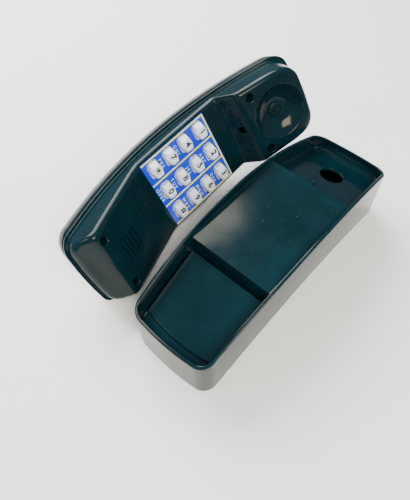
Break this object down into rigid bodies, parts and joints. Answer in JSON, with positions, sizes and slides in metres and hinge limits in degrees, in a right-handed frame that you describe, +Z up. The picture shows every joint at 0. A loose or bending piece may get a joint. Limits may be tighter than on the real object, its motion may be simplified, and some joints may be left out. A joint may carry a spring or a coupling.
{
  "type": "toy telephone",
  "caption": "Toy push-button telephone: an arched cradle base with a curved handset lying on its side beside it.",
  "frame": {"origin": "on the floor, below the middle of the whole telephone as it lies at rest", "axes": "+X across the base away from the handset, +Y along the base towards the earpiece end, +Z up"},
  "size_m": [0.1628, 0.232, 0.0977],
  "materials": {
    "green_plastic": "gloss moulded, dark blue-green",
    "deep_green_plastic": "gloss moulded, dark blue-green",
    "white_plastic": "satin moulded, white",
    "printed_label": "printed film, blue with yellow lines",
    "grey_rubber": "moulded, grey",
    "natural_plastic": "moulded, natural",
    "plated_steel": "bright zinc plate"
  },
  "bodies": {
    "base": {"base_tray": "green_plastic", "base_back_plate": "deep_green_plastic", "base_screw_1": "plated_steel", "base_screw_2": "plated_steel", "base_screw_3": "plated_steel", "base_screw_4": "plated_steel"},
    "handset": {"handset_front_shell": "green_plastic", "handset_back_shell": "deep_green_plastic", "keypad_label": "printed_label", "key_return_mat": "grey_rubber", "key_carrier_plate": "natural_plastic", "handset_screw_1": "plated_steel", "handset_screw_2": "plated_steel", "handset_screw_3": "plated_steel", "handset_screw_4": "plated_steel", "carrier_screw_1": "plated_steel", "carrier_screw_2": "plated_steel", "carrier_screw_3": "plated_steel", "carrier_screw_4": "plated_steel"},
    "key_1_button": {"key_1": "white_plastic"},
    "key_2_button": {"key_2": "white_plastic"},
    "key_3_button": {"key_3": "white_plastic"},
    "key_4_button": {"key_4": "white_plastic"},
    "key_5_button": {"key_5": "white_plastic"},
    "key_6_button": {"key_6": "white_plastic"},
    "key_7_button": {"key_7": "white_plastic"},
    "key_8_button": {"key_8": "white_plastic"},
    "key_9_button": {"key_9": "white_plastic"},
    "key_star_button": {"key_star": "white_plastic"},
    "key_0_button": {"key_0": "white_plastic"},
    "key_hash_button": {"key_hash": "white_plastic"}
  },
  "joints": [
    {"name": "handset_lift", "type": "slide", "parent": "base", "child": "handset", "axis": [0, 0, 1], "range_m": [0, 0.15]},
    {"name": "key_1_press", "type": "slide", "parent": "handset", "child": "key_1_button", "axis": [-0.8854, 0.0962, -0.4548], "range_m": [0, 0.002], "stiffness_N_per_m": 400, "springref_m": -0.0006},
    {"name": "key_2_press", "type": "slide", "parent": "handset", "child": "key_2_button", "axis": [-0.8854, 0.0962, -0.4548], "range_m": [0, 0.002], "stiffness_N_per_m": 400, "springref_m": -0.0006},
    {"name": "key_3_press", "type": "slide", "parent": "handset", "child": "key_3_button", "axis": [-0.8854, 0.0962, -0.4548], "range_m": [0, 0.002], "stiffness_N_per_m": 400, "springref_m": -0.0006},
    {"name": "key_4_press", "type": "slide", "parent": "handset", "child": "key_4_button", "axis": [-0.8854, 0.0962, -0.4548], "range_m": [0, 0.002], "stiffness_N_per_m": 400, "springref_m": -0.0006},
    {"name": "key_5_press", "type": "slide", "parent": "handset", "child": "key_5_button", "axis": [-0.8854, 0.0962, -0.4548], "range_m": [0, 0.002], "stiffness_N_per_m": 400, "springref_m": -0.0006},
    {"name": "key_6_press", "type": "slide", "parent": "handset", "child": "key_6_button", "axis": [-0.8854, 0.0962, -0.4548], "range_m": [0, 0.002], "stiffness_N_per_m": 400, "springref_m": -0.0006},
    {"name": "key_7_press", "type": "slide", "parent": "handset", "child": "key_7_button", "axis": [-0.8854, 0.0962, -0.4548], "range_m": [0, 0.002], "stiffness_N_per_m": 400, "springref_m": -0.0006},
    {"name": "key_8_press", "type": "slide", "parent": "handset", "child": "key_8_button", "axis": [-0.8854, 0.0962, -0.4548], "range_m": [0, 0.002], "stiffness_N_per_m": 400, "springref_m": -0.0006},
    {"name": "key_9_press", "type": "slide", "parent": "handset", "child": "key_9_button", "axis": [-0.8854, 0.0962, -0.4548], "range_m": [0, 0.002], "stiffness_N_per_m": 400, "springref_m": -0.0006},
    {"name": "key_star_press", "type": "slide", "parent": "handset", "child": "key_star_button", "axis": [-0.8854, 0.0962, -0.4548], "range_m": [0, 0.002], "stiffness_N_per_m": 400, "springref_m": -0.0006},
    {"name": "key_0_press", "type": "slide", "parent": "handset", "child": "key_0_button", "axis": [-0.8854, 0.0962, -0.4548], "range_m": [0, 0.002], "stiffness_N_per_m": 400, "springref_m": -0.0006},
    {"name": "key_hash_press", "type": "slide", "parent": "handset", "child": "key_hash_button", "axis": [-0.8854, 0.0962, -0.4548], "range_m": [0, 0.002], "stiffness_N_per_m": 400, "springref_m": -0.0006}
  ]
}
